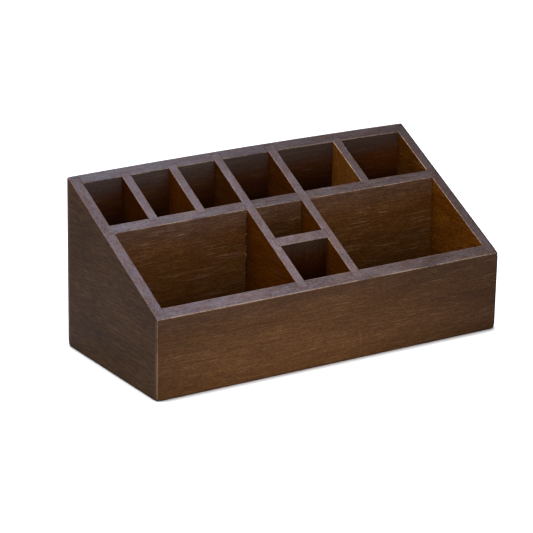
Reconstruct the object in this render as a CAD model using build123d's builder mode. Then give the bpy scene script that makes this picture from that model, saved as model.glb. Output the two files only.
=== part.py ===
"""Slant-top desk organizer: a glued wooden box with an open, slanted top and ten compartments.

Millimetres. +X is to the right, +Y to the back and +Z up. The origin is the centre of the base,
at the height of what the box stands on.
"""

import os

from build123d import *

os.makedirs("parts", exist_ok=True)

# Case
width = 325.0
depth = 142.0
back_height = 143.0
front_height = 66.5
case_thickness = 9.6
outer_round = 1.2  # on the outer arrises

# Boards inside the case
divider_thickness = 7.9
front_row_depth = 72.3  # clear, from the front panel to the cross divider
middle_width = 44.4  # clear, between the two through dividers
middle_shift = -1.0  # of the middle column, to the right of the centre
middle_front_depth = 34.2  # clear, from the front panel to the middle cross piece
left_bays = 3  # compartments of the back row, left of the through dividers
right_bays = 2  # and right of them
right_bay_shift = -1.4  # of the divider that parts the right-hand bays, from an even spacing

# Joints: how far one board enters another
corner_housing = 6.0  # sides into the front and back panels
through_housing = 6.0  # through dividers into the front and back panels
cross_housing = 4.0  # cross divider into the sides
short_housing = 3.0  # short boards into the boards that they part
joint_gap = 0.1  # for glue, on each face

# Bottom panel
bottom_thickness = 5.0
bottom_recess = 0.5  # from what the box stands on up to the panel
bottom_rabbet = 5.0  # how far the panel enters the case boards

# Brads through the bottom panel
brad_radius = 0.6
brad_length = 18.0
brad_point = 0.4
brad_head_radius = 1.0
brad_head_height = 0.8
brad_clearance = 0.05
panel_brads = 5  # in the front panel, and in the back panel
side_brads = 2  # in each side
cross_brads = 2  # in the cross divider, on each side of the through dividers

# Faces that several boards share
front_y = -depth / 2
front_inner_y = front_y + case_thickness
back_y = depth / 2
back_inner_y = back_y - case_thickness
side_x = width / 2
side_inner_x = side_x - case_thickness
cross_front_y = front_inner_y + front_row_depth
cross_back_y = cross_front_y + divider_thickness
cross_y = (cross_front_y + cross_back_y) / 2
piece_front_y = front_inner_y + middle_front_depth
piece_back_y = piece_front_y + divider_thickness
middle_low_x = middle_shift - middle_width / 2
middle_high_x = middle_shift + middle_width / 2
left_end_x = middle_low_x - divider_thickness
right_start_x = middle_high_x + divider_thickness
through_xs = ((left_end_x + middle_low_x) / 2, (middle_high_x + right_start_x) / 2)
floor_z = bottom_recess + bottom_thickness
above_rim_z = back_height + case_thickness


def rim_height(y):
    """Height of the slanted rim at y."""
    return front_height + (back_height - front_height) * (y - front_y) / depth


# Height where the cross divider and the through dividers are halved into each other.
lap_z = (floor_z + rim_height(cross_y)) / 2


def bay_dividers(low_x, high_x, bays):
    """Centres of the dividers that part the space from low_x to high_x into equal bays."""
    pitch = (high_x - low_x + divider_thickness) / bays
    return [low_x + n * pitch - divider_thickness / 2 for n in range(1, bays)]


back_divider_xs = [
    *bay_dividers(-side_inner_x, left_end_x, left_bays),
    *(x + right_bay_shift for x in bay_dividers(right_start_x, side_inner_x, right_bays)),
]


def spread(low, high, count):
    """Evenly spaced places from low to high, half a step in from both."""
    step = (high - low) / count
    return [low + (n + 0.5) * step for n in range(count)]


def brad_places():
    """Plan positions of all the brads."""
    panel_y = back_inner_y + bottom_rabbet / 2
    side_row_x = side_inner_x + bottom_rabbet / 2
    piece_bay_y = (front_inner_y + piece_front_y) / 2
    back_bay_y = (cross_back_y + back_inner_y) / 2
    places = []
    for sign in (-1, 1):
        places += [(x, sign * panel_y) for x in spread(-side_inner_x, side_inner_x, panel_brads)]
        places += [(sign * side_row_x, y) for y in spread(front_inner_y, back_inner_y, side_brads)]
    for low_x, high_x in ((-side_inner_x, left_end_x), (right_start_x, side_inner_x)):
        places += [(x, cross_y) for x in spread(low_x, high_x, cross_brads)]
    for x in through_xs:
        places += [(x, y) for y in (piece_bay_y, back_bay_y)]
    return places


def thick(centre, gap=0.0):
    """Limits of a divider, or of its housing, about its centre line."""
    return centre - divider_thickness / 2 - gap, centre + divider_thickness / 2 + gap


def add_board(xs, ys, low_z=floor_z):
    """Adds a board between the limits xs and ys, standing on low_z, with its top on the rim."""
    low_y, high_y = ys
    with BuildSketch(Plane.YZ.offset(xs[0])) as profile:
        with BuildLine():
            Polyline(
                (low_y, low_z),
                (high_y, low_z),
                (high_y, rim_height(high_y)),
                (low_y, rim_height(low_y)),
                close=True,
            )
        make_face()
    extrude(profile.sketch, amount=xs[1] - xs[0])


def cut_block(xs, ys, zs=(0.0, above_rim_z)):
    """Cuts the block between three pairs of limits out of the board that is being built."""
    centre = [(low + high) / 2 for low, high in (xs, ys, zs)]
    size = [abs(high - low) for low, high in (xs, ys, zs)]
    with Locations(tuple(centre)):
        Box(*size, mode=Mode.SUBTRACT)


def cut_bottom_rabbet():
    """Cuts the bed of the bottom panel out of a case board."""
    reach_x = side_inner_x + bottom_rabbet + joint_gap
    reach_y = back_inner_y + bottom_rabbet + joint_gap
    cut_block((-reach_x, reach_x), (-reach_y, reach_y), (0.0, floor_z))


def cut_brad_holes():
    """Drills the holes of the brads, and the seats of their heads, up from the underside."""
    drills = (
        (brad_radius, brad_length),
        (brad_head_radius, brad_head_height),
    )
    for radius, height in drills:
        with BuildSketch(Plane.XY.offset(bottom_recess)) as holes:
            with Locations(*brad_places()):
                Circle(radius + brad_clearance)
        extrude(holes.sketch, amount=height + brad_clearance, mode=Mode.SUBTRACT)


def cut_panel_joints(inner_y, outwards):
    """Cuts the rabbets of the sides and the housings of the through dividers.

    inner_y is the inner face of the front or back panel, and outwards is -1 or 1 along Y.
    """
    for sign in (-1, 1):
        cut_block(
            (sign * (side_inner_x - joint_gap), sign * width),
            (inner_y, inner_y + outwards * corner_housing),
        )
    for x in through_xs:
        cut_block(thick(x, joint_gap), (inner_y, inner_y + outwards * through_housing))


def save(part, name):
    """Labels a finished piece and writes it to parts/."""
    part.label = name
    export_step(part, f"parts/{name}.step")


# Front and back panels: full width, rabbeted at the ends, housed for the through dividers.
with BuildPart() as front_panel:
    add_board((-side_x, side_x), (front_y, front_inner_y), low_z=0.0)
    face_edges = front_panel.faces().sort_by(Axis.Y)[0].edges()
    end_edges = front_panel.faces().filter_by(Axis.X).edges().filter_by(Axis.Z, reverse=True)
    fillet(face_edges + end_edges, outer_round)
    cut_panel_joints(front_inner_y, -1)
    cut_bottom_rabbet()
    cut_brad_holes()
save(front_panel.part, "front_panel")

with BuildPart() as back_panel:
    add_board((-side_x, side_x), (back_inner_y, back_y), low_z=0.0)
    face_edges = back_panel.faces().sort_by(Axis.Y)[-1].edges()
    end_edges = back_panel.faces().filter_by(Axis.X).edges().filter_by(Axis.Z, reverse=True)
    fillet(face_edges + end_edges, outer_round)
    cut_panel_joints(back_inner_y, 1)
    for x in back_divider_xs:
        cut_block(
            thick(x, joint_gap),
            (back_inner_y, back_inner_y + short_housing),
            (floor_z, above_rim_z),
        )
    cut_bottom_rabbet()
    cut_brad_holes()
save(back_panel.part, "back_panel")

# Sides: between the panels' rabbets, each housed for an end of the cross divider.
side_reach_y = back_inner_y + corner_housing - joint_gap
for name, sign in (("left_side", -1), ("right_side", 1)):
    with BuildPart() as side_board:
        add_board(
            sorted((sign * side_inner_x, sign * side_x)),
            (-side_reach_y, side_reach_y),
            low_z=0.0,
        )
        outer_face = side_board.faces().sort_by(Axis.X)[0 if sign < 0 else -1]
        fillet(outer_face.edges().filter_by(Axis.Z, reverse=True), outer_round)
        cut_block(
            (sign * side_inner_x, sign * (side_inner_x + cross_housing)),
            thick(cross_y, joint_gap),
            (floor_z, above_rim_z),
        )
        cut_bottom_rabbet()
        cut_brad_holes()
    save(side_board.part, name)

# Cross divider: slotted from above where the through dividers cross it.
with BuildPart() as cross_divider:
    cross_reach_x = side_inner_x + cross_housing - joint_gap
    add_board((-cross_reach_x, cross_reach_x), thick(cross_y))
    for x in through_xs:
        cut_block(thick(x, joint_gap), (front_y, back_y), (lap_z, above_rim_z))
    for x in back_divider_xs:
        cut_block(thick(x, joint_gap), (cross_back_y - short_housing, cross_back_y))
    cut_brad_holes()
save(cross_divider.part, "cross_divider")

# Through dividers: slotted from below where they cross the cross divider.
through_reach_y = back_inner_y + through_housing - joint_gap
through_dividers = (
    ("left_through_divider", through_xs[0], (middle_low_x - short_housing, middle_low_x)),
    ("right_through_divider", through_xs[1], (middle_high_x, middle_high_x + short_housing)),
)
for name, x, housing_xs in through_dividers:
    with BuildPart() as through_divider:
        add_board(thick(x), (-through_reach_y, through_reach_y))
        cut_block((-side_x, side_x), thick(cross_y, joint_gap), (0.0, lap_z + joint_gap))
        cut_block(housing_xs, thick((piece_front_y + piece_back_y) / 2, joint_gap))
        cut_brad_holes()
    save(through_divider.part, name)

# Short dividers of the back row, numbered from the left.
short_front_y = cross_back_y - short_housing + joint_gap
short_back_y = back_inner_y + short_housing - joint_gap
for number, x in enumerate(back_divider_xs, start=1):
    with BuildPart() as back_divider:
        add_board(thick(x), (short_front_y, short_back_y))
    save(back_divider.part, f"back_divider_{number}")

# Short piece that parts the middle column of the front row.
with BuildPart() as middle_cross_piece:
    piece_grip = short_housing - joint_gap
    add_board((middle_low_x - piece_grip, middle_high_x + piece_grip), (piece_front_y, piece_back_y))
save(middle_cross_piece.part, "middle_cross_piece")

# Bottom panel, in the rabbets of the four case boards.
with BuildPart() as bottom_panel:
    with BuildSketch(Plane.XY.offset(bottom_recess)):
        Rectangle(
            2 * (side_inner_x + bottom_rabbet),
            2 * (back_inner_y + bottom_rabbet),
        )
    extrude(amount=bottom_thickness)
    cut_brad_holes()
save(bottom_panel.part, "bottom_panel")

# Brads that hold the bottom panel to the boards above it.
with BuildPart() as bottom_brads:
    with BuildSketch(Plane.XY.offset(bottom_recess)):
        with Locations(*brad_places()):
            Circle(brad_radius)
    extrude(amount=brad_length)
    chamfer(bottom_brads.edges().group_by(Axis.Z)[-1], brad_point)
    with BuildSketch(Plane.XY.offset(bottom_recess)):
        with Locations(*brad_places()):
            Circle(brad_head_radius)
    extrude(amount=brad_head_height)
save(bottom_brads.part, "bottom_brads")
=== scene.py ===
"""Slant-top desk organizer: a dark-stained wooden box with an open, slanted top and ten compartments.

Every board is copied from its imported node, eased along its arrises and dressed in stain under a satin
lacquer. Metres; +X is to the right, +Y to the back and +Z up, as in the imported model.
"""

import logging
import math
from dataclasses import dataclass, field
from enum import Enum
from functools import cached_property

import bmesh
import bpy
from mathutils import Matrix, Vector


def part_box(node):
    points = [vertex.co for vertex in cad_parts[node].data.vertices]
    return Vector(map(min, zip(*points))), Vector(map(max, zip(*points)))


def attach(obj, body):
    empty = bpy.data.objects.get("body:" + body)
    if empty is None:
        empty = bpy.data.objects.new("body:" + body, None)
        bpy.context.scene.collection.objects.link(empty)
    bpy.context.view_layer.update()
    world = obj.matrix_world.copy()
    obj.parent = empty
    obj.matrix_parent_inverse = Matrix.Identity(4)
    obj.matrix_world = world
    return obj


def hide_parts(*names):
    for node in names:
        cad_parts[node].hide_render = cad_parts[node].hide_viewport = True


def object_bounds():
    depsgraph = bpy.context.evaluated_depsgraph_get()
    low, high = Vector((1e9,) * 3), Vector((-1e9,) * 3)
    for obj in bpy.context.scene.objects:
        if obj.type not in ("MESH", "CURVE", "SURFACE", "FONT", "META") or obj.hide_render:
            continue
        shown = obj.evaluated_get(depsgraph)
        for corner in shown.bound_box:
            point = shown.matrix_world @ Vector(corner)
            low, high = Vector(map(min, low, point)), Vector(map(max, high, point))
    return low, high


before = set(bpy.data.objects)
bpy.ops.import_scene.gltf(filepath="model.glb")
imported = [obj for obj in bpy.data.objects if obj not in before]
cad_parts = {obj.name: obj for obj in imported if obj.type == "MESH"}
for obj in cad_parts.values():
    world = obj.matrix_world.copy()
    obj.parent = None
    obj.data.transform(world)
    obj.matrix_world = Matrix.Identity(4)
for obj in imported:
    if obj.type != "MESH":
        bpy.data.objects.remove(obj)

CAD_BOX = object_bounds()
LOG = logging.getLogger("desk_organizer")
MM = 0.001
IMAGE_SIDE = 533
SENSOR = 36.0

Pair = tuple[float, float]
Triple = tuple[float, float, float]
Rgba = tuple[float, float, float, float]
Box = tuple[Vector, Vector]
Node = bpy.types.Node
Socket = bpy.types.NodeSocket
BMesh = bmesh.types.BMesh
Piece = bpy.types.Object


def screen_colour(red: float, green: float, blue: float) -> Rgba:
    """Gives the linear colour of an 8-bit screen colour.

    Args:
        red: red, from 0 to 255.
        green: green, from 0 to 255.
        blue: blue, from 0 to 255.

    Returns:
        The colour as Blender's sockets take it, opaque.
    """
    parts = []
    for value in (red, green, blue):
        share = value / 255
        parts.append(share / 12.92 if share <= 0.04045 else ((share + 0.055) / 1.055) ** 2.4)
    return parts[0], parts[1], parts[2], 1.0


def share_between(value: float, ends: Pair) -> float:
    """Gives how far a value has come from one end to the other, from 0 to 1."""
    return min(1.0, max(0.0, (value - ends[0]) / (ends[1] - ends[0])))


def show(name: str, data: object) -> Piece:
    """Puts a new object with this data into the scene, and gives it back.

    Args:
        name: the object's name.
        data: its mesh, lamp or camera.

    Returns:
        The object.
    """
    shown = bpy.data.objects.new(name, data)
    bpy.context.scene.collection.objects.link(shown)
    return shown


def show_shape(name: str, shape: BMesh) -> Piece:
    """Turns a bmesh into an object in the scene, frees the bmesh and gives the object back.

    Args:
        name: the object's name, and its mesh's.
        shape: the bmesh.

    Returns:
        The object.
    """
    mesh = bpy.data.meshes.new(name)
    shape.to_mesh(mesh)
    shape.free()
    return show(name, mesh)


class Grain(Enum):
    """The way a board's grain runs, with the turn that brings it to the pattern's X axis."""

    ACROSS_BOX = (0.0, 0.0, 0.0)
    FRONT_TO_BACK = (0.0, 0.0, -math.pi / 2)
    UPRIGHT = (0.0, math.pi / 2, 0.0)


class Mark(Enum):
    """The values that a board's mesh carries to its finish."""

    ARRIS = "arris"
    RIM = "rim"
    CORNER = "corner"
    OUTSIDE = "outside"
    # painted shade in a band just inside the right outline
    RIGHT_EDGE_SHADE = "right_edge_shade"


@dataclass(frozen=True)
class Lumps:
    """A noise: how long its lumps are along the grain and how wide across it, and how they break up.

    length and width are in metres, or sockets that give them. detail is how many finer layers it has,
    roughness how strong those are, and wander how much it is distorted.
    """

    length: float | Socket
    width: float | Socket
    detail: float
    roughness: float
    wander: float = 0.0


class NodeBench:
    """A node tree and the few ways in which this script adds to it."""

    def __init__(self, tree: bpy.types.NodeTree) -> None:
        """Takes the tree to work on."""
        self.tree = tree

    def add(self, kind: str, **settings: object) -> Node:
        """Adds a node.

        Args:
            kind: the node's type.
            **settings: the node's own properties.

        Returns:
            The new node.
        """
        node = self.tree.nodes.new(kind)
        for name, value in settings.items():
            setattr(node, name, value)
        return node

    def feed(self, socket: Socket, source: object) -> None:
        """Links a socket to another one, or sets its value.

        Args:
            socket: the input.
            source: the other socket, or the value.
        """
        if isinstance(source, Socket):
            self.tree.links.new(source, socket)
        else:
            socket.default_value = source

    def fill(self, node: Node, *sources: object, **named: object) -> Node:
        """Feeds several inputs of a node.

        Args:
            node: the node.
            *sources: what its first inputs take, in order.
            **named: what other inputs take, with an underscore for each space of their names.

        Returns:
            The node.
        """
        for socket, source in zip(node.inputs, sources):
            self.feed(socket, source)
        for name, source in named.items():
            self.feed(node.inputs[name.replace("_", " ")], source)
        return node

    def math(self, operation: str, *sources: object) -> Socket:
        """Adds a Math node with these inputs, and gives its result."""
        return self.fill(self.add("ShaderNodeMath", operation=operation), *sources).outputs[0]

    def vector(self, operation: str, *sources: object) -> Socket:
        """Adds a Vector Math node with these inputs, and gives its result."""
        node = self.fill(self.add("ShaderNodeVectorMath", operation=operation), *sources)
        return node.outputs["Value" if operation in ("LENGTH", "DOT_PRODUCT") else "Vector"]

    def here(self) -> Socket:
        """Gives each place on the piece, in the piece's own coordinates."""
        return self.add("ShaderNodeTexCoord").outputs["Object"]

    def noise(self, place: Socket, lumps: Lumps) -> Socket:
        """Adds a noise.

        Args:
            place: the place, with the grain along its X axis.
            lumps: the noise's settings.

        Returns:
            The noise, about 0.5 on average.
        """
        sizes = self.fill(self.add("ShaderNodeCombineXYZ"), lumps.length, lumps.width, lumps.width)
        node = self.fill(
            self.add("ShaderNodeTexNoise"),
            Vector=self.vector("DIVIDE", place, sizes.outputs[0]),
            Scale=1.0,
            Detail=lumps.detail,
            Roughness=lumps.roughness,
            Distortion=lumps.wander,
        )
        return node.outputs["Fac"]

    def remap(
        self, value: Socket, low: float, high: float, to_low: float = 0.0, to_high: float = 1.0
    ) -> Socket:
        """Adds a clamped, smooth Map Range.

        Args:
            value: what is mapped.
            low: the value that gives to_low.
            high: the value that gives to_high.
            to_low: the result at low.
            to_high: the result at high.

        Returns:
            The mapped value.
        """
        node = self.add("ShaderNodeMapRange", interpolation_type="SMOOTHSTEP")
        return self.fill(node, value, low, high, to_low, to_high).outputs["Result"]

    def blend(self, share: object, first: object, second: object, way: str = "MIX") -> Socket:
        """Mixes two colours.

        Args:
            share: how much of the second, from 0 to 1.
            first: the first colour or socket.
            second: the second.
            way: the blend type.

        Returns:
            The mixed colour.
        """
        node = self.add("ShaderNodeMix", data_type="RGBA", blend_type=way, clamp_factor=True)
        for number, source in ((0, share), (6, first), (7, second)):
            self.feed(node.inputs[number], source)
        return node.outputs[2]


def start_material(piece: Piece, name: str) -> tuple[NodeBench, Node]:
    """Gives a piece a new material in place of any that it had.

    Args:
        piece: the piece.
        name: the material's name.

    Returns:
        The material's bench and its Principled shader.
    """
    material = bpy.data.materials.new(name)
    material.use_nodes = True
    piece.data.materials.clear()
    piece.data.materials.append(material)
    return NodeBench(material.node_tree), material.node_tree.nodes["Principled BSDF"]


class EffectGroup:
    """A shader effect that several finishes share: a node group that takes a place and some numbers."""

    name = "effect"
    inputs: dict[str, float] = {}
    outputs: tuple[str, ...] = ()

    def tree(self) -> bpy.types.NodeTree:
        """Gives the group's node tree, built the first time it is asked for."""
        return bpy.data.node_groups.get(self.name) or self.build()

    def build(self) -> bpy.types.NodeTree:
        """Makes the group's sockets and its inside.

        Returns:
            The new node tree.
        """
        tree = bpy.data.node_groups.new(self.name, "ShaderNodeTree")
        sockets = tree.interface
        sockets.new_socket(name="Vector", in_out="INPUT", socket_type="NodeSocketVector")
        for label, value in self.inputs.items():
            socket = sockets.new_socket(name=label, in_out="INPUT", socket_type="NodeSocketFloat")
            socket.default_value = value
        for label in self.outputs:
            sockets.new_socket(name=label, in_out="OUTPUT", socket_type="NodeSocketFloat")
        bench = NodeBench(tree)
        bench.fill(bench.add("NodeGroupOutput"), **self.wire(bench, bench.add("NodeGroupInput")))
        return tree

    def wire(self, bench: NodeBench, entry: Node) -> dict[str, Socket]:
        """Builds the inside of the group.

        Args:
            bench: the group's bench.
            entry: its input node.

        Returns:
            A socket for each output, by name.
        """
        raise NotImplementedError

    def place(self, bench: NodeBench, **values: object) -> Node:
        """Puts the group into a material.

        Args:
            bench: the material's bench.
            **values: its inputs, with an underscore for each space of their names.

        Returns:
            The group node.
        """
        return bench.fill(bench.add("ShaderNodeGroup", node_tree=self.tree()), **values)


class WoodGrain(EffectGroup):
    """Streaks, fine fibres, broad figure and pores of straight-grained wood, with the grain along X."""

    name = "wood_grain"
    inputs = {
        "Streak Length": 18 * MM,
        "Streak Width": 0.9 * MM,
        "Fibre Length": 2.6 * MM,
        "Figure Length": 120 * MM,
        "Figure Width": 12 * MM,
    }
    outputs = ("Streaks", "Fibres", "Figure", "Pores", "Height")

    fibre_width = 0.6 * MM
    pores = Lumps(5.5 * MM, 0.5 * MM, detail=1.0, roughness=0.5)
    pore_levels = (0.63, 0.74)
    streak_height = 0.55
    fibre_height = 0.45
    pore_depth = 0.8

    def wire(self, bench: NodeBench, entry: Node) -> dict[str, Socket]:
        """Makes the grain's noises, and adds the fine ones up to a height.

        Args:
            bench: the group's bench.
            entry: its input node.

        Returns:
            The four patterns, and their height for a bump.
        """
        place, sizes = entry.outputs["Vector"], entry.outputs
        patterns = {
            "Streaks": Lumps(
                sizes["Streak Length"], sizes["Streak Width"], detail=2.0, roughness=0.6, wander=0.1
            ),
            "Fibres": Lumps(sizes["Fibre Length"], self.fibre_width, detail=1.0, roughness=0.6),
            "Figure": Lumps(
                sizes["Figure Length"], sizes["Figure Width"], detail=2.0, roughness=0.5, wander=0.6
            ),
        }
        grain = {label: bench.noise(place, lumps) for label, lumps in patterns.items()}
        grain["Pores"] = bench.remap(bench.noise(place, self.pores), *self.pore_levels)
        height = bench.math("MULTIPLY", grain["Fibres"], self.fibre_height)
        height = bench.math("MULTIPLY_ADD", grain["Streaks"], self.streak_height, height)
        grain["Height"] = bench.math("MULTIPLY_ADD", grain["Pores"], -self.pore_depth, height)
        return grain


class StainBlotches(EffectGroup):
    """Places where the stain was taken up more and less."""

    name = "stain_blotches"
    inputs = {"Size": 35 * MM}
    outputs = ("Blotches",)

    lengthening = 1.8

    def wire(self, bench: NodeBench, entry: Node) -> dict[str, Socket]:
        """Adds one noise, a little longer along the grain than across it.

        Args:
            bench: the group's bench.
            entry: its input node.

        Returns:
            The blotches.
        """
        size = entry.outputs["Size"]
        length = bench.math("MULTIPLY", size, self.lengthening)
        lumps = Lumps(length, size, detail=4.0, roughness=0.58, wander=0.4)
        return {"Blotches": bench.noise(entry.outputs["Vector"], lumps)}


class PaleRubs(EffectGroup):
    """Short pale dashes along the grain, in patches, where sanding cut through the stain."""

    name = "pale_rubs"
    inputs = {"Amount": 0.3}
    outputs = ("Rubs",)

    dashes = Lumps(30 * MM, 0.50 * MM, detail=2.0, roughness=0.55)
    dash_levels = (0.58, 0.72)
    patches = Lumps(34 * MM, 13 * MM, detail=1.0, roughness=0.5)
    patch_levels = (0.38, 0.60)

    def wire(self, bench: NodeBench, entry: Node) -> dict[str, Socket]:
        """Cuts dashes out of a stretched noise, and keeps them in patches.

        Args:
            bench: the group's bench.
            entry: its input node.

        Returns:
            How far the stain is gone.
        """
        place = entry.outputs["Vector"]
        dashes = bench.remap(bench.noise(place, self.dashes), *self.dash_levels)
        patches = bench.remap(bench.noise(place, self.patches), *self.patch_levels)
        rubs = bench.math("MULTIPLY", dashes, patches)
        return {"Rubs": bench.math("MULTIPLY", rubs, entry.outputs["Amount"])}


class EdgeWear(EffectGroup):
    """Stain rubbed off the arrises, more in some places than in others."""

    name = "edge_wear"
    inputs = {"Arris": 0.0, "Amount": 0.6}
    outputs = ("Wear",)

    coarse = Lumps(26 * MM, 20 * MM, detail=1.0, roughness=0.5)
    fine = Lumps(3.2 * MM, 1.4 * MM, detail=2.0, roughness=0.6)
    levels = (0.40, 0.58)
    least = 0.15

    def wire(self, bench: NodeBench, entry: Node) -> dict[str, Socket]:
        """Breaks the arris mark up with a coarse and a fine noise in equal parts.

        Args:
            bench: the group's bench.
            entry: its input node.

        Returns:
            How far the stain is gone.
        """
        place = entry.outputs["Vector"]
        level = bench.math("MULTIPLY", bench.noise(place, self.coarse), 0.5)
        level = bench.math("MULTIPLY_ADD", bench.noise(place, self.fine), 0.5, level)
        broken = bench.remap(level, *self.levels, self.least, 1.0)
        worn = bench.math("MULTIPLY", entry.outputs["Arris"], broken)
        return {"Wear": bench.math("MULTIPLY", worn, entry.outputs["Amount"])}


class CornerGlue(EffectGroup):
    """The inside corners: a dark line where the joint is open, pale specks where glue came out."""

    name = "corner_glue"
    inputs = {"Corner": 0.0}
    outputs = ("Gap", "Glue")

    runs = Lumps(9 * MM, 9 * MM, detail=3.0, roughness=0.6)
    run_levels = (0.44, 0.50)
    gap_levels = (0.25, 0.75)
    specks = Lumps(2.2 * MM, 2.2 * MM, detail=2.0, roughness=0.6)
    speck_levels = (0.56, 0.66)
    glue_levels = (0.30, 0.50)

    def wire(self, bench: NodeBench, entry: Node) -> dict[str, Socket]:
        """Splits the corner mark into a gap that comes and goes, and specks of glue beside it.

        Args:
            bench: the group's bench.
            entry: its input node.

        Returns:
            Where the gap and the glue are.
        """
        corner, place = entry.outputs["Corner"], entry.outputs["Vector"]
        runs = bench.remap(bench.noise(place, self.runs), *self.run_levels)
        gap = bench.math("MULTIPLY", bench.remap(corner, *self.gap_levels), runs)
        specks = bench.remap(bench.noise(place, self.specks), *self.speck_levels)
        glue = bench.math("MULTIPLY", bench.remap(corner, *self.glue_levels), specks)
        return {"Gap": gap, "Glue": glue}


@dataclass(frozen=True)
class BrightnessPatch:
    """A wide patch where the board is brighter or darker than round it; on the front panel it is a painted
    pool of light.

    centre and reach are in metres, and inside and outside are the brightness at its centre and beyond
    its reach.
    """

    centre: Triple
    reach: Triple
    inside: float
    outside: float = 1.0


@dataclass(frozen=True)
class Board:
    """What sets one board apart from the others.

    shift is where in the pattern it was cut from, in metres. tone and rim_tone are the brightness of its
    faces and of its rim beside a plain board, rim_tone partly painted sheen, depth how rich the stain on
    its faces is, figure how strongly its grain shows and fibre how long its fibres are. haze is how grey
    its faces turn towards the rim, a painted glare; painted_back_shade how bright its back end is beside
    its front end, painted shade in the narrow back bays; painted_low_shade how bright its feet are beside
    its rim, and low_shade_richness how much richer the colour gets towards the feet, both painted shade
    deep in the bays;
    outer_tone the brightness of its outer face if that differs, where a darker inside is painted shade;
    gloss its lacquer's specular level. rubs and wear are how far the stain is gone from its faces and
    arrises, and patch is where it is brighter or darker over a wide patch.
    """

    node: str
    grain: Grain
    shift: Triple
    tone: float = 1.0
    rim_tone: float = 1.0
    depth: float = 1.0
    figure: float = 1.0
    fibre: float = 2.6 * MM
    painted_glare: float = 0.08
    painted_back_shade: float = 1.0
    painted_low_shade: float = 1.0
    low_shade_richness: float = 0.0
    outer_tone: float | None = None
    gloss: float = 0.13
    rubs: float = 0.10
    wear: float = 0.30
    patch: BrightnessPatch | None = None


@dataclass(frozen=True)
class StainedWood:
    """Finish: dark brown stain under thin satin lacquer, rubbed off the arrises, grey on the rim with
    sanding dust and painted sheen, and with painted shade and glare on the faces.
    """

    rim: "RimPlane"
    name: str = "stained_wood"
    deep: Rgba = screen_colour(57, 29, 4)
    plain: Rgba = screen_colour(74, 40, 7)
    light: Rgba = screen_colour(96, 60, 22)
    pore: Rgba = screen_colour(32, 17, 5)
    gap: Rgba = screen_colour(12, 6, 3)
    worn: Rgba = screen_colour(180, 154, 130)
    # grey coat on the rim, partly sanding dust and partly painted sheen
    dust_and_sheen_low: Rgba = screen_colour(74, 70, 76)
    dust_and_sheen_high: Rgba = screen_colour(103, 99, 107)
    streak_part: float = 0.27
    fibre_part: float = 0.41
    figure_part: float = 0.13
    blotch_part: float = 0.19
    rim_figure: float = 1.5
    plain_levels: Pair = (0.36, 0.53)
    light_levels: Pair = (0.49, 0.66)
    dust_and_sheen_levels: Pair = (0.36, 0.64)
    dust_and_sheen_share: float = 0.60
    dust_and_sheen_spread: Pair = (0.78, 1.16)
    dust_and_sheen_spot: float = 7 * MM
    spot_levels: Pair = (0.40, 0.60)
    # the grey coat warms towards the right of the box, where the painted sheen fades
    sheen_warmth: Rgba = (1.0, 0.93, 0.80, 1.0)
    # painted light on the rim, falling off towards the back and the right of the box
    rim_light_front: float = 1.12
    rim_light_back: float = 0.78
    rim_light_right: float = 0.92
    # painted shade on the faces towards the back of the box, in the narrow back bays
    back_shade_run: Pair = (0.5, 0.9)
    # painted glare: the faces turn grey just below the rim
    painted_glare_reach: float = 20 * MM
    # painted shade deep in the bays: the colour grows richer towards their floors
    low_shade_rich_reach: Pair = (3 * MM, 22 * MM)
    # painted shade on the faces deep in the bays, darker towards their floors
    low_shade_reach: Pair = (6 * MM, 46 * MM)
    # painted shade in a band just inside the right outline
    right_edge_shade_tone: float = 0.40
    # painted shade at the feet of every board
    painted_foot_shade: float = 0.5
    foot_shade_reach: float = 2.2 * MM
    age_hue: float = 0.085
    pore_share: float = 0.45
    glue_share: float = 0.55
    roughness: float = 0.42
    streak_roughness: float = 0.16
    wear_roughness: float = 0.12
    bump_height: float = 0.10 * MM
    bump_strength: float = 0.5

    def dress(self, piece: Piece, board: Board) -> None:
        """Gives a piece a material of its own, with this finish.

        Args:
            piece: the piece.
            board: the board that it is.
        """
        bench, shader = start_material(piece, f"{self.name}.{piece.name}")
        StainWork(self, board, bench).lay_on(shader)


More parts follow.
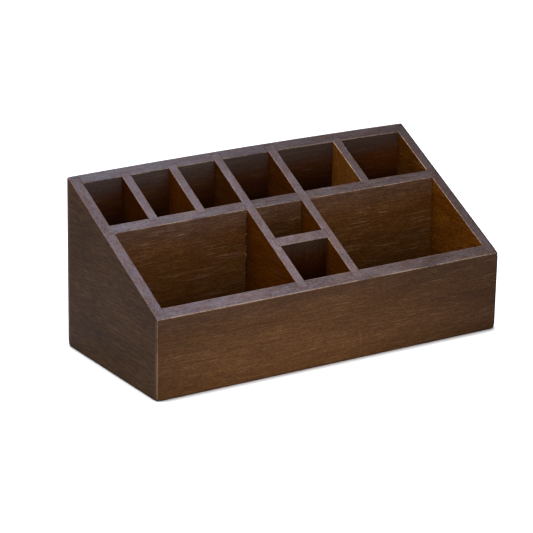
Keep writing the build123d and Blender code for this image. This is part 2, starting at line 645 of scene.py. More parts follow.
class StainWork:
    """The work of staining one board: it wires that board's material."""

    def __init__(self, finish: StainedWood, board: Board, bench: NodeBench) -> None:
        """Turns and shifts the board into the grain's pattern, and reads its marks.

        Args:
            finish: the stain.
            board: the board.
            bench: the material's bench.
        """
        self.finish, self.board, self.bench = finish, board, bench
        mapping = bench.add("ShaderNodeMapping", vector_type="POINT")
        bench.fill(mapping, Vector=bench.here(), Location=board.shift, Rotation=board.grain.value)
        self.place = mapping.outputs["Vector"]
        self.marks = {}
        for mark in Mark:
            node = bench.add("ShaderNodeAttribute", attribute_type="GEOMETRY", attribute_name=mark.value)
            self.marks[mark] = node.outputs["Fac"]
        self.grain = WoodGrain().place(bench, Vector=self.place, Fibre_Length=board.fibre).outputs

    def lay_on(self, shader: Node) -> None:
        """Wires the colour, the roughness and the bumps into a shader.

        Args:
            shader: the material's Principled shader.
        """
        bench, board, finish, grain = self.bench, self.board, self.finish, self.grain
        rubs = PaleRubs().place(bench, Vector=self.place, Amount=board.rubs).outputs["Rubs"]
        # no wear inside the painted shade along the right outline
        bare = bench.math("MULTIPLY", self.marks[Mark.ARRIS], self.without(Mark.RIGHT_EDGE_SHADE))
        wear = EdgeWear().place(bench, Vector=self.place, Arris=bare, Amount=board.wear).outputs["Wear"]
        corner = CornerGlue().place(bench, Vector=self.place, Corner=self.marks[Mark.CORNER]).outputs
        layers = (
            (bench.math("MULTIPLY", grain["Pores"], finish.pore_share), finish.pore),
            (rubs, finish.worn),
            (wear, finish.worn),
            (bench.math("MULTIPLY", corner["Glue"], finish.glue_share), finish.worn),
            (corner["Gap"], finish.gap),
        )
        colour = self.stained()
        for share, paint in layers:
            colour = bench.blend(share, colour, paint)
        least = finish.roughness - finish.streak_roughness / 2
        rough = bench.math("MULTIPLY_ADD", grain["Streaks"], finish.streak_roughness, least)
        rough = bench.math("MULTIPLY_ADD", wear, finish.wear_roughness, rough)
        bump = bench.add("ShaderNodeBump")
        bench.fill(bump, Strength=finish.bump_strength, Distance=finish.bump_height, Height=grain["Height"])
        bench.fill(shader, Base_Color=colour, Roughness=rough, Specular_IOR_Level=board.gloss)
        bench.fill(shader, Normal=bump.outputs["Normal"])

    def stained(self) -> Socket:
        """Gives the stain's colour, with its richness and brightness, painted light and shade included.

        Returns:
            The colour, before the pores, the wear and the corners.
        """
        bench, board, finish = self.bench, self.board, self.finish
        level = self.level()
        colour = bench.blend(bench.remap(level, *finish.plain_levels), finish.deep, finish.plain)
        colour = bench.blend(bench.remap(level, *finish.light_levels), colour, finish.light)
        colour = bench.blend(self.greyed(), colour, self.dust_and_sheen(level))
        depth = bench.math("MULTIPLY_ADD", self.marks[Mark.RIM], 1.0 - board.depth, board.depth)
        # painted shade: richer colour towards the floors of the bays, on the inner faces only
        if board.low_shade_richness:
            richer = bench.remap(self.below_rim(), *finish.low_shade_rich_reach, 0.0, board.low_shade_richness)
            depth = bench.math("MULTIPLY_ADD", self.without(Mark.OUTSIDE), richer, depth)
        hue = bench.math("MULTIPLY_ADD", depth, -finish.age_hue, 0.5 + finish.age_hue)
        stain = bench.add("ShaderNodeHueSaturation")
        bench.fill(stain, Hue=hue, Saturation=depth, Value=self.tone(), Color=colour)
        return stain.outputs[0]

    def level(self) -> Socket:
        """Adds the grain's patterns up to one level, from dark to light wood and about 0.5 on average.

        Returns:
            The level.
        """
        bench, board, finish = self.bench, self.board, self.finish
        blotches = StainBlotches().place(bench, Vector=self.place).outputs["Blotches"]
        level = bench.math("MULTIPLY", self.grain["Streaks"], finish.streak_part)
        level = bench.math("MULTIPLY_ADD", self.grain["Fibres"], finish.fibre_part, level)
        level = bench.math("MULTIPLY_ADD", self.grain["Figure"], finish.figure_part, level)
        level = bench.math("MULTIPLY_ADD", blotches, finish.blotch_part, level)
        more = finish.rim_figure - board.figure
        strength = bench.math("MULTIPLY_ADD", self.marks[Mark.RIM], more, board.figure)
        return bench.math("MULTIPLY_ADD", bench.math("SUBTRACT", level, 0.5), strength, 0.5)

    def dust_and_sheen(self, level: Socket) -> Socket:
        """Gives the colour of the grey coat of sanding dust and painted sheen, which is warmer towards the
        right of the box, where the painted sheen fades.

        Args:
            level: the level of the wood under it.

        Returns:
            The colour.
        """
        bench, finish = self.bench, self.finish
        dust_and_sheen = bench.blend(bench.remap(level, *finish.dust_and_sheen_levels), finish.dust_and_sheen_low, finish.dust_and_sheen_high)
        return bench.blend(self.across(0), dust_and_sheen, finish.sheen_warmth, "MULTIPLY")

    def greyed(self) -> Socket:
        """Gives the grey coat's share of the colour: spots of sanding dust and painted sheen on the rim,
        and a painted glare on the faces below.

        Returns:
            The share, from 0 to 1.
        """
        bench, board, finish = self.bench, self.board, self.finish
        # painted glare on the faces, fading with depth below the rim
        painted_glare = bench.remap(self.below_rim(), 0.0, finish.painted_glare_reach, board.painted_glare, 0.0)
        if board.outer_tone is not None:
            painted_glare = bench.math("MULTIPLY", painted_glare, self.without(Mark.OUTSIDE))
        spots = StainBlotches().place(bench, Vector=self.place, Size=finish.dust_and_sheen_spot).outputs["Blotches"]
        shares = [finish.dust_and_sheen_share * part for part in finish.dust_and_sheen_spread]
        spotted = bench.remap(spots, *finish.spot_levels, *shares)
        return bench.math("MAXIMUM", bench.math("MULTIPLY", self.marks[Mark.RIM], spotted), painted_glare)

    def tone(self) -> Socket:
        """Gives the brightness that the faces, the rim, the painted shade at the feet and along the right
        outline, and a patch add up to.

        Returns:
            The brightness, with 1 for a plain board's face.
        """
        bench, board, finish, marks = self.bench, self.board, self.finish, self.marks
        tone, rim_tone = self.face_tone(), self.rim_tone()
        if board.outer_tone is not None:
            more = bench.math("SUBTRACT", board.outer_tone, tone)
            tone = bench.math("MULTIPLY_ADD", marks[Mark.OUTSIDE], more, tone)
        tone = bench.math("MULTIPLY_ADD", marks[Mark.RIM], bench.math("SUBTRACT", rim_tone, tone), tone)
        # painted shade: darker at the feet of every board, and in a band just inside the right outline
        parts = [
            bench.remap(self.along(2), 0.0, finish.foot_shade_reach, finish.painted_foot_shade, 1.0),
            bench.math("MULTIPLY_ADD", marks[Mark.RIGHT_EDGE_SHADE], finish.right_edge_shade_tone - 1.0, 1.0),
        ]
        if board.patch:
            parts.append(self.patched(board.patch))
        for part in parts:
            tone = bench.math("MULTIPLY", tone, part)
        return tone

    def face_tone(self) -> Socket:
        """Gives the faces' brightness, darker towards the back and towards the feet with painted shade.

        Returns:
            The brightness.
        """
        bench, board, finish = self.bench, self.board, self.finish
        back = bench.remap(self.across(1), *finish.back_shade_run, board.tone, board.tone * board.painted_back_shade)
        low = bench.remap(self.below_rim(), *finish.low_shade_reach, 1.0, board.painted_low_shade)
        return bench.math("MULTIPLY", back, low)

    def rim_tone(self) -> Socket:
        """Gives the rim's brightness, with painted light that falls off towards the back and the right of
        the box.

        Returns:
            The brightness.
        """
        bench, finish = self.bench, self.finish
        fall = finish.rim_light_back - finish.rim_light_front
        back = bench.math("MULTIPLY_ADD", self.across(1), fall, finish.rim_light_front)
        right = bench.math("MULTIPLY_ADD", self.across(0), finish.rim_light_right - 1.0, 1.0)
        return bench.math("MULTIPLY", bench.math("MULTIPLY", back, right), self.board.rim_tone)

    def patched(self, patch: BrightnessPatch) -> Socket:
        """Gives the brightness that a patch, brighter or darker than round it, lends to the board.

        Args:
            patch: the patch.

        Returns:
            The brightness, as a factor.
        """
        away = self.bench.vector("SUBTRACT", self.bench.here(), patch.centre)
        distance = self.bench.vector("LENGTH", self.bench.vector("DIVIDE", away, patch.reach))
        return self.bench.remap(distance, 0.0, 1.0, patch.inside, patch.outside)

    def without(self, mark: Mark) -> Socket:
        """Gives 0 where a mark is and 1 where it isn't."""
        return self.bench.math("SUBTRACT", 1.0, self.marks[mark])

    def below_rim(self) -> Socket:
        """Gives how far each place on the board is below the plane of the rim.

        Returns:
            The depth, in metres.
        """
        rim = self.finish.rim
        height = self.bench.vector("DOT_PRODUCT", self.bench.here(), rim.normal)
        return self.bench.math("SUBTRACT", rim.height * rim.normal.z, height)

    def along(self, axis: int) -> Socket:
        """Gives the X, Y or Z of each place on the board."""
        return self.bench.fill(self.bench.add("ShaderNodeSeparateXYZ"), self.bench.here()).outputs[axis]

    def across(self, axis: int) -> Socket:
        """Gives how far each place is across the box, from left to right or from front to back."""
        low, high = CAD_BOX
        return self.bench.remap(self.along(axis), low[axis], high[axis])


@dataclass(frozen=True)
class BrightSteel:
    """Finish: bright drawn steel with a little dust."""

    name: str = "bright_steel"
    clean: Rgba = screen_colour(176, 174, 170)
    dull: Rgba = screen_colour(120, 114, 106)
    dust: Lumps = Lumps(0.8 * MM, 0.8 * MM, detail=3.0, roughness=0.6)
    dust_levels: Pair = (0.40, 0.66)
    roughness: float = 0.3
    dust_roughness: float = 0.2

    def dress(self, piece: Piece) -> None:
        """Gives a piece this finish.

        Args:
            piece: the piece.
        """
        bench, shader = start_material(piece, self.name)
        share = bench.remap(bench.noise(bench.here(), self.dust), *self.dust_levels)
        rough = bench.math("MULTIPLY_ADD", share, self.dust_roughness, self.roughness)
        colour = bench.blend(share, self.clean, self.dull)
        bench.fill(shader, Base_Color=colour, Roughness=rough, Metallic=1.0)


@dataclass(frozen=True)
class RimPlane:
    """The plane in which all the boards end at the top."""

    normal: Vector
    height: float
    arris_band: float = 1.5 * MM
    flush: float = 0.9995

    @classmethod
    def read(cls) -> "RimPlane":
        """Finds the plane from the inner top edges of the front panel and the left side.

        Returns:
            The plane.
        """
        inner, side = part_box("front_panel")[1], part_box("left_side")[1]
        rise = (side.z - inner.z) / (side.y - inner.y)
        return cls(Vector((0.0, -rise, 1.0)).normalized(), inner.z - rise * inner.y)

    def at(self, y: float) -> float:
        """Gives the plane's height at a place along Y."""
        return self.height - y * self.normal.y / self.normal.z

    def reached_by(self, place: Vector) -> bool:
        """Tells whether a place is in the plane, or less than an arris's rounding below it."""
        return self.normal.dot(place) > self.height * self.normal.z - self.arris_band

    def faced_by(self, face: bmesh.types.BMFace) -> bool:
        """Tells whether a face lies along the plane."""
        return face.normal.dot(self.normal) > self.flush


@dataclass
class Crown:
    """How the sanded rim swells: highest in the middle of the back, level along the front."""

    lift: float = 1.5 * MM
    power: float = 1.5

    def raise_rim(self, board: BMesh, rim: RimPlane) -> None:
        """Lifts the rim of a board, and what is below it in proportion to its height.

        Args:
            board: the board.
            rim: the plane of the rim.
        """
        low, high = CAD_BOX
        for vert in board.verts:
            back = share_between(vert.co.y, (low.y, high.y))
            side = 2 * vert.co.x / (high.x - low.x)
            lift = self.lift * max(0.0, 1 - side * side) * back**self.power
            vert.co.z += lift * vert.co.z / rim.at(vert.co.y)


@dataclass
class SoftCorners:
    """How the arrises of the case grow rounder towards its eight corners."""

    arris_radius: float = 1.2 * MM
    foot_radius: float = 2.3 * MM
    left_front_radius: float = 1.5 * MM
    right_front_radius: float = 1.7 * MM
    back_top_radius: float = 1.3 * MM
    reach: float = 5.0 * MM
    cuts: tuple[float, ...] = (1.6 * MM, 2.0 * MM, 2.5 * MM, 3.1 * MM, 3.8 * MM, 4.6 * MM)
    rounds: int = 12

    def soften(self, board: BMesh, rim: RimPlane) -> None:
        """Rounds the board near the corners of the box.

        Args:
            board: the board.
            rim: the plane of the rim.
        """
        for vert in board.verts:
            place = vert.co
            way_x = Vector((math.copysign(1.0, place.x), 0.0, 0.0))
            way_y = Vector((0.0, math.copysign(1.0, place.y), 0.0))
            if place.z < rim.at(place.y) / 2:
                end, radius = (Vector((0.0, 0.0, -1.0)), 0.0), self.foot_radius
            else:
                end = (rim.normal, rim.height * rim.normal.z)
                front_radius = self.left_front_radius if place.x < 0 else self.right_front_radius
                radius = front_radius if place.y < 0 else self.back_top_radius
            planes = ((way_x, CAD_BOX[1].x), (way_y, CAD_BOX[1].y), end)
            depths = [reach - normal.dot(place) for normal, reach in planes]
            if max(depths) < self.reach:
                vert.co = self.rounded(place, planes, self.radius_at(max(depths), radius))

    def radius_at(self, depth: float, corner_radius: float) -> float:
        """Gives the rounding's radius at a depth behind the faces that meet in a corner.

        Args:
            depth: the depth.
            corner_radius: the radius at the corner itself.

        Returns:
            The radius.
        """
        share = share_between(depth, (self.reach, corner_radius))
        share = share * share * (3 - 2 * share)
        return self.arris_radius + (corner_radius - self.arris_radius) * share

    def rounded(self, place: Vector, planes: tuple[tuple[Vector, float], ...], radius: float) -> Vector:
        """Draws a place in to a rounding of the corner between three planes.

        Args:
            place: the place.
            planes: each plane's outward normal, and how far out it is.
            radius: the radius of the rounding.

        Returns:
            The place, drawn in if it stood proud of the rounding.
        """
        core = place.copy()
        for _round in range(self.rounds):
            for normal, reach in planes:
                core -= normal * max(0.0, normal.dot(core) - (reach - radius))
        off = place - core
        if off.length <= radius:
            return place
        return core + off * (radius / off.length)


@dataclass
class BoardShaper:
    """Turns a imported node's loose triangles into an eased and sanded board."""

    neighbours: tuple[str, ...]
    rim: RimPlane
    merge_reach: float = 0.001 * MM
    flat_turn: float = math.radians(1)
    arris_radius: float = 0.55 * MM
    arris_segments: int = 4
    seam_radius: float = 0.14 * MM
    corner_reach: float = 1.3 * MM
    touch: float = 0.2 * MM
    end_margin: float = 0.3 * MM
    outer_margin: float = 2 * MM
    pitch: float = 12 * MM
    cut_reach: float = 0.002 * MM
    sharp_angle: float = math.radians(30)
    side_flush: float = 0.9998
    wear_aligns: Pair = (0.50, 0.10)
    rim_aligns: Pair = (0.60, 0.80)
    open_joint: tuple[str, str] = ("left_through_divider", "cross_divider")
    open_reach: float = 2 * MM
    foot_clear: float = 2 * MM
    # the band just inside the right outline that carries painted shade
    right_edge_shade_band: Pair = (0.05 * MM, 1.8 * MM)
    tight_corner: float = 0.3
    face_weight: int = 100
    crown: Crown = field(default_factory=Crown)
    corners: SoftCorners = field(default_factory=SoftCorners)

    @cached_property
    def sides(self) -> list[Vector]:
        """The ways in which the flat faces of a board look."""
        return [row * sign for row in Matrix.Identity(3) for sign in (1, -1)] + [self.rim.normal]

    @cached_property
    def opened(self) -> tuple[float, ...]:
        """The X and the Y of the corner where a joint is open."""
        return tuple(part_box(node)[0][axis] for axis, node in enumerate(self.open_joint))

    def shape(self, node: str) -> Piece:
        """Makes the board that stands for a node.

        Args:
            node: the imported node's name.

        Returns:
            The new piece.
        """
        board = bmesh.new()
        board.from_mesh(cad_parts[node].data)
        bmesh.ops.remove_doubles(board, verts=board.verts, dist=self.merge_reach)
        bmesh.ops.dissolve_limit(board, angle_limit=self.flat_turn, verts=board.verts, edges=board.edges)
        others = [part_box(name) for name in self.neighbours if name != node]
        self.split_at_joints(board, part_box(node), others)
        self.ease(board, others, at_joints=False, radius=self.arris_radius, segments=self.arris_segments)
        self.ease(board, others, at_joints=True, radius=self.seam_radius, segments=1)
        self.cut_for_crown(board)
        self.cut_for_corners(board)
        self.write_marks(board, others)
        self.corners.soften(board, self.rim)
        self.crown.raise_rim(board, self.rim)
        return self.finish(board, node)

    def cut(self, board: BMesh, place: Vector, normal: Vector) -> None:
        """Cuts new edges round the board where a plane meets it."""
        geometry = [*board.verts, *board.edges, *board.faces]
        bmesh.ops.bisect_plane(board, geom=geometry, dist=self.cut_reach, plane_co=place, plane_no=normal)

    def cut_across(self, board: BMesh, axis: int, distance: float) -> None:
        """Cuts the board across the X, Y or Z axis."""
        normal = Matrix.Identity(3)[axis]
        self.cut(board, normal * distance, normal)

    def split_at_joints(self, board: BMesh, own: Box, others: list[Box]) -> None:
        """Cuts the board along the faces of the boards that it meets, and a little way off them.

        Args:
            board: the board.
            own: its box.
            others: the boxes of the boards beside it.
        """
        low, high = own
        for other in others:
            apart = [
                other[0][axis] > high[axis] + self.touch or other[1][axis] < low[axis] - self.touch
                for axis in range(3)
            ]
            if any(apart):
                continue
            for axis in (0, 1):
                for corner, way in zip(other, (-1, 1)):
                    for place in (corner[axis], corner[axis] + way * self.corner_reach):
                        if low[axis] + self.end_margin < place < high[axis] - self.end_margin:
                            self.cut_across(board, axis, place)

    def at_joint(self, place: Vector, others: list[Box]) -> bool:
        """Tells whether a place is inside, or against, another board.

        Args:
            place: the place.
            others: the boxes of the boards beside it.

        Returns:
            True where another board is.
        """
        for low, high in others:
            if all(low[axis] - self.touch < place[axis] < high[axis] + self.touch for axis in range(3)):
                return True
        return False

    def within_box(self, place: Vector) -> bool:
        """Tells whether a place is clear of the outer faces.

        Args:
            place: the place.

        Returns:
            True away from the outer faces.
        """
        low, high = (corner[:2] for corner in CAD_BOX)
        margin = self.outer_margin
        return all(start + margin < at < end - margin for start, at, end in zip(low, place, high))

    def ease(self, board: BMesh, others: list[Box], at_joints: bool, radius: float, segments: int) -> None:
        """Rounds the sharp edges of the rim.

        Args:
            board: the board.
            others: the boxes of the boards beside it.
            at_joints: whether to take the edges that meet another board, or the free ones.
            radius: how far the rounding reaches.
            segments: how many faces it has.
        """
        edges = []
        for edge in board.edges:
            if len(edge.link_faces) != 2 or edge.calc_face_angle(0.0) < self.sharp_angle:
                continue
            middle = (edge.verts[0].co + edge.verts[1].co) / 2
            on_rim = any(self.rim.faced_by(face) for face in edge.link_faces)
            if on_rim and self.at_joint(middle, others) == at_joints:
                edges.append(edge)
        bmesh.ops.bevel(
            board,
            geom=edges,
            affect="EDGES",
            offset=radius,
            offset_type="OFFSET",
            segments=segments,
            profile=0.5,
            clamp_overlap=False,
            material=-1,
        )

    def cut_for_crown(self, board: BMesh) -> None:
        """Cuts the board across at an even pitch, so that its rim can swell.

        Args:
            board: the board.
        """
        for axis in (0, 1):
            places = [vert.co[axis] for vert in board.verts]
            low, high = min(places), max(places)
            count = int((high - low) / self.pitch)
            for number in range(1, count):
                self.cut_across(board, axis, low + (high - low) * number / count)

    def cut_for_corners(self, board: BMesh) -> None:
        """Cuts the case boards closely near the outer corners, so that those can be rounded.

        Args:
            board: the board.
        """
        low, high = CAD_BOX
        if max(abs(vert.co.x) for vert in board.verts) < high.x - self.outer_margin:
            return
        for depth in self.corners.cuts:
            for axis in (0, 1):
                self.cut_across(board, axis, low[axis] + depth)
                self.cut_across(board, axis, high[axis] - depth)
            self.cut_across(board, 2, depth)
            top = Vector((0.0, 0.0, self.rim.height)) - self.rim.normal * depth
            self.cut(board, top, self.rim.normal)

    def write_marks(self, board: BMesh, others: list[Box]) -> None:
        """Marks the arrises, the rim and the inside corners for the finish to read.

        Args:
            board: the board.
            others: the boxes of the boards beside it.
        """
        layers = {mark: board.verts.layers.float.new(mark.value) for mark in Mark}
        board.normal_update()
        for vert in board.verts:
            for mark, value in self.marks_at(vert, others).items():
                vert[layers[mark]] = value

    def marks_at(self, vert: bmesh.types.BMVert, others: list[Box]) -> dict[Mark, float]:
        """Works out what is marked at one vertex.

        Args:
            vert: the vertex, with its normal up to date.
            others: the boxes of the boards beside this one.

        Returns:
            Each mark's value, from 0 to 1.
        """
        place = vert.co
        on_rim = any(self.rim.faced_by(face) for face in vert.link_faces)
        align = vert.normal.dot(self.rim.normal) if self.rim.reached_by(place) else 0.0
        within = self.within_box(place)
        corner = 0.0
        if not on_rim and within and self.at_joint(place, others):
            corner = 1.0 if self.by_open_joint(place) else self.tight_corner
        # the band just inside the right outline carries painted shade
        inset = CAD_BOX[1].x - place.x
        return {
            Mark.ARRIS: self.arris_at(vert),
            Mark.RIM: 1.0 if on_rim else share_between(align, self.rim_aligns),
            Mark.CORNER: corner,
            Mark.OUTSIDE: 0.0 if within else 1.0,
            Mark.RIGHT_EDGE_SHADE: 1.0 if self.right_edge_shade_band[0] < inset < self.right_edge_shade_band[1] else 0.0,
        }

    def arris_at(self, vert: bmesh.types.BMVert) -> float:
        """Tells how far round an arris a vertex is: 0 on a flat face, and 1 halfway between two.

        Args:
            vert: the vertex, with its normal up to date.

        Returns:
            The arris mark, from 0 to 1.
        """
        aligns = [face.normal.dot(side) for face in vert.link_faces for side in self.sides]
        if max(aligns) > self.side_flush or vert.co.z < self.foot_clear:
            return 0.0
        second, first = sorted(vert.normal.dot(side) for side in self.sides)[-2:]
        return share_between(first - second, self.wear_aligns)

    def by_open_joint(self, place: Vector) -> bool:
        """Tells whether a place is beside the corner where a joint is open."""
        return all(abs(at - joint) < self.open_reach for at, joint in zip(place, self.opened))

    def finish(self, board: BMesh, node: str) -> Piece:
        """Turns the bmesh into a shown piece that stands for its node.

        Args:
            board: the board.
            node: the node's name.

        Returns:
            The piece.
        """
        for face in board.faces:
            face.smooth = True
        for edge in board.edges:
            edge.smooth = edge.calc_face_angle(0.0) < self.sharp_angle
        piece = show_shape(f"{node}_board", board)
        weighted = piece.modifiers.new("flat_faces", "WEIGHTED_NORMAL")
        weighted.keep_sharp = True
        weighted.weight = self.face_weight
        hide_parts(node)
        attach(piece, "root")
        return piece


@dataclass
class Boards:
    """A sub-assembly of boards, shaped and dressed in turn, each in a material of its own."""

    shaper: BoardShaper
    slot: str = ""
    boards: tuple[Board, ...] = ()

    def build(self) -> None:
        """Shapes and dresses the boards, in order."""
        finish = StainedWood(self.shaper.rim)
        for board in self.boards:
            piece = self.shaper.shape(board.node)
            finish.dress(piece, board)
            LOG.info("%s: %d faces", piece.name, len(piece.data.polygons))


@dataclass
class Case(Boards):
    """The front and back panels and the two sides."""

    slot: str = "case_wood"
    boards: tuple[Board, ...] = (
        Board(
            "front_panel", Grain.ACROSS_BOX, shift=(0.31, 0.12, 0.05),
            tone=1.0, rim_tone=1.20, depth=0.92, figure=0.9, painted_glare=0.05, gloss=0.07, rubs=0.16, wear=0.48,
            # the patch is a painted pool of light, brightest low and left of centre, darker towards the
            # right and the top
            patch=BrightnessPatch(
                centre=(-0.045, 0.0, 0.0), reach=(0.23, 1.0, 0.095), inside=1.35, outside=0.60
            ),
        ),
        Board(
            "back_panel", Grain.ACROSS_BOX, shift=(1.72, 0.55, 0.21),
            # darker inside than outside, darker and richer low down, and grey near the rim: painted shade
            # and glare of the back bays
            tone=0.42, rim_tone=0.66, figure=0.8, painted_glare=0.33, painted_low_shade=0.42, low_shade_richness=0.16,
            outer_tone=0.95, wear=0.36,
            patch=BrightnessPatch(centre=(0.142, 0.061, 0.110), reach=(0.050, 0.009, 0.028), inside=2.0),
        ),
        Board(
            "left_side", Grain.FRONT_TO_BACK, shift=(2.37, 1.08, 0.44),
            tone=0.64, rim_tone=0.97, depth=0.90, figure=1.35, fibre=9 * MM,
            painted_glare=0.02, gloss=0.03, wear=0.06,
        ),
        Board(
            "right_side", Grain.FRONT_TO_BACK, shift=(3.11, 0.67, 1.36),
            tone=1.25, rim_tone=0.72, depth=1.03, figure=1.6, painted_glare=0.0, painted_back_shade=0.58,
            outer_tone=1.0, gloss=0.08, wear=0.66,
        ),
    )


@dataclass
class Dividers(Boards):
    """The boards that part the inside of the box."""

    slot: str = "divider_wood"
    boards: tuple[Board, ...] = (
        Board(
            "cross_divider", Grain.ACROSS_BOX, shift=(4.53, 1.91, 0.83),
            rim_tone=0.83, depth=0.96, painted_glare=0.12, gloss=0.09, rubs=0.34, wear=0.48,
            patch=BrightnessPatch(centre=(0.0, 0.0, 0.0), reach=(0.045, 1.0, 1.0), inside=0.75),
        ),
        Board(
            "left_through_divider", Grain.FRONT_TO_BACK, shift=(5.27, 0.38, 1.15),
            tone=0.94, rim_tone=1.15, depth=1.1, painted_glare=0.0, painted_back_shade=0.50, gloss=0.08,
        ),
        Board(
            "right_through_divider", Grain.FRONT_TO_BACK, shift=(6.04, 2.46, 0.72),
            tone=0.86, rim_tone=1.20, depth=1.1, painted_glare=0.0, painted_back_shade=0.75, gloss=0.08,
        ),
        Board(
            "back_divider_1", Grain.UPRIGHT, shift=(0.92, 3.33, 1.64),
            tone=0.55, depth=1.15, painted_glare=0.0, painted_low_shade=0.5, gloss=0.07,
        ),
        Board(
            "back_divider_2", Grain.UPRIGHT, shift=(1.45, 4.12, 2.08),
            tone=0.87, rim_tone=1.10, depth=1.1, painted_glare=0.0, painted_low_shade=0.7, gloss=0.08,
        ),
        Board(
            "back_divider_3", Grain.UPRIGHT, shift=(2.81, 5.07, 0.39),
            tone=1.45, rim_tone=0.90, painted_glare=0.0, gloss=0.08, wear=0.7,
        ),
        Board(
            "middle_cross_piece", Grain.UPRIGHT, shift=(3.66, 2.94, 1.97),
            tone=0.31, rim_tone=1.10, painted_glare=0.12, painted_low_shade=0.4, low_shade_richness=0.24, gloss=0.08, rubs=0.0,
        ),
    )


@dataclass
class Bottom(Boards):
    """The bottom panel."""

    slot: str = "bottom_board"
    boards: tuple[Board, ...] = (
        Board("bottom_panel", Grain.ACROSS_BOX, shift=(7.1, 1.3, 2.2), tone=0.7),
    )


@dataclass
class SoftBox:
    """A rectangular lamp that hangs over or beside the object."""

    name: str
    place: Triple
    aim: Triple
    width: float
    height: float
    power: float
    colour: Triple

    def hang(self) -> None:
        """Makes the lamp, aimed and hidden from the camera."""
        lamp = bpy.data.lights.new(self.name, "AREA")
        lamp.shape = "RECTANGLE"
        lamp.size, lamp.size_y = self.width, self.height
        lamp.energy = self.power
        lamp.color = self.colour
        holder = show(self.name, lamp)
        holder.location = self.place
        toward = Vector(self.aim) - Vector(self.place)
        holder.rotation_euler = toward.to_track_quat("-Z", "Y").to_euler()
        holder.visible_camera = False


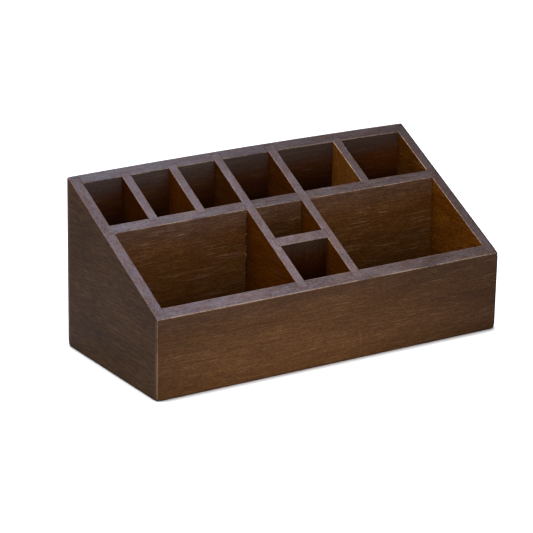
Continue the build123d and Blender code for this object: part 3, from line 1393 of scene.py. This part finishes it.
@dataclass
class Studio:
    """The pale floor, the plain surroundings, the soft lamps and the camera."""

    floor_side: float = 8.0
    floor_colour: Rgba = (0.80, 0.80, 0.80, 1.0)
    floor_glow: float = 0.8
    foot_shade_reach: float = 13 * MM
    shade_samples: int = 8
    shade_levels: Pair = (0.50, 0.90)
    glow_reach: Pair = (0.35, 1.1)
    mirror_share: float = 0.15
    fill_colour: Rgba = (1.0, 1.0, 1.0, 1.0)
    fill_strength: float = 0.06
    camera_place: Triple = (-1.05492, -1.58845, 0.71454)
    camera_aim: Triple = (-0.01861, 0.0, 0.06400)
    camera_roll: float = math.radians(1.095)
    focal_pixels: float = 2483.7
    clip: Pair = (0.01, 50.0)
    lamps: tuple[SoftBox, ...] = (
        SoftBox(
            "left_overhead", place=(-0.36, 0.06, 0.80), aim=(0.0, 0.0, 0.0),
            width=0.5, height=0.5, power=6.5, colour=(0.92, 0.94, 1.0),
        ),
        SoftBox(
            "right_overhead", place=(0.14, 0.17, 0.85), aim=(0.0, 0.0, 0.0),
            width=0.35, height=0.40, power=6.0, colour=(0.76, 0.79, 1.0),
        ),
        SoftBox(
            "low_front", place=(-0.05, -0.55, 0.16), aim=(-0.03, 0.0, 0.03),
            width=0.5, height=0.25, power=1.35, colour=(1.0, 1.0, 1.0),
        ),
        SoftBox(
            "left_front", place=(-0.6, -1.5, 1.0), aim=(0.0, 0.0, 0.05),
            width=1.2, height=0.9, power=12.0, colour=(1.0, 0.94, 0.92),
        ),
    )

    def build(self) -> None:
        """Sets up the floor, the surroundings, the lamps and the camera."""
        self.lay_floor()
        self.paint_world()
        for lamp in self.lamps:
            lamp.hang()
        self.set_camera()
        bpy.context.scene.view_settings.view_transform = "Standard"

    def seen_directly(self, bench: NodeBench) -> Socket:
        """Gives 1 for camera and clear-glass rays, less for mirror rays, and 0 for the rest.

        Args:
            bench: the bench of the material or of the world.

        Returns:
            The share, from 0 to 1.
        """
        path = bench.add("ShaderNodeLightPath")
        mirrored = bench.math("MULTIPLY", path.outputs["Is Glossy Ray"], self.mirror_share)
        seen = bench.math("MAXIMUM", path.outputs["Is Camera Ray"], mirrored)
        return bench.math("MAXIMUM", seen, path.outputs["Is Transmission Ray"])

    def lay_floor(self) -> None:
        """Makes the floor, which shows white where no deep shadow falls and isn't seen from below."""
        sheet = bmesh.new()
        bmesh.ops.create_grid(sheet, x_segments=1, y_segments=1, size=self.floor_side / 2)
        floor = show_shape("floor", sheet)
        bench, shader = start_material(floor, "floor_paper")
        bench.tree.nodes.remove(shader)
        paper = bench.fill(bench.add("ShaderNodeBsdfDiffuse"), Color=self.floor_colour)
        strength = bench.math("MULTIPLY", self.seen_directly(bench), self.paper_glow(bench))
        glow = bench.fill(bench.add("ShaderNodeEmission"), Strength=strength)
        lit = bench.fill(bench.add("ShaderNodeAddShader"), paper.outputs[0], glow.outputs[0])
        clear = bench.add("ShaderNodeBsdfTransparent")
        below = bench.add("ShaderNodeNewGeometry").outputs["Backfacing"]
        sides = bench.fill(bench.add("ShaderNodeMixShader"), below, lit.outputs[0], clear.outputs[0])
        bench.fill(bench.tree.nodes["Material Output"], Surface=sides.outputs[0])

    def paper_glow(self, bench: NodeBench) -> Socket:
        """Gives the floor's glow: none at the foot of the object, and most where the lamps don't reach.

        Args:
            bench: the floor material's bench.

        Returns:
            The strength of the glow.
        """
        close = bench.add("ShaderNodeAmbientOcclusion", samples=self.shade_samples)
        bench.fill(close, Distance=self.foot_shade_reach)
        near = bench.remap(close.outputs["AO"], *self.shade_levels, 0.0, self.floor_glow)
        away = bench.vector("LENGTH", bench.here())
        far = bench.remap(away, *self.glow_reach, 0.0, 1.0 - self.floor_glow)
        return bench.math("ADD", near, far)

    def paint_world(self) -> None:
        """Makes the surroundings: plain white where they are seen, and a soft fill elsewhere."""
        world = bpy.data.worlds.new("studio")
        bpy.context.scene.world = world
        world.use_nodes = True
        bench = NodeBench(world.node_tree)
        extra = bench.math("MULTIPLY", self.seen_directly(bench), 1.0 - self.fill_strength)
        strength = bench.math("ADD", extra, self.fill_strength)
        bench.fill(world.node_tree.nodes["Background"], Color=self.fill_colour, Strength=strength)

    def set_camera(self) -> None:
        """Makes the camera and gives it to the scene."""
        lens = bpy.data.cameras.new("camera")
        lens.sensor_width = SENSOR
        lens.lens = self.focal_pixels * SENSOR / IMAGE_SIDE
        lens.clip_start, lens.clip_end = self.clip
        camera = show("camera", lens)
        camera.location = self.camera_place
        toward = Vector(self.camera_aim) - Vector(self.camera_place)
        level = toward.to_track_quat("-Z", "Y").to_matrix()
        turn = level @ Matrix.Rotation(self.camera_roll, 3, "Z")
        camera.rotation_euler = turn.to_euler()
        bpy.context.scene.camera = camera


def main() -> None:
    """Builds the organizer, dresses it and sets up the studio."""
    logging.basicConfig(level=logging.INFO, format="%(name)s: %(message)s")
    rim = RimPlane.read()
    shaper = BoardShaper(tuple(board.node for board in Case.boards + Dividers.boards), rim)
    for boards in (Case(shaper), Dividers(shaper), Bottom(BoardShaper((), rim))):
        boards.build()
    BrightSteel().dress(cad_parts["bottom_brads"])
    LOG.info("bottom_brads: dressed as packed")
    Studio().build()
    LOG.info("studio: floor, surroundings, lamps and camera")


if __name__ == "__main__":
    main()
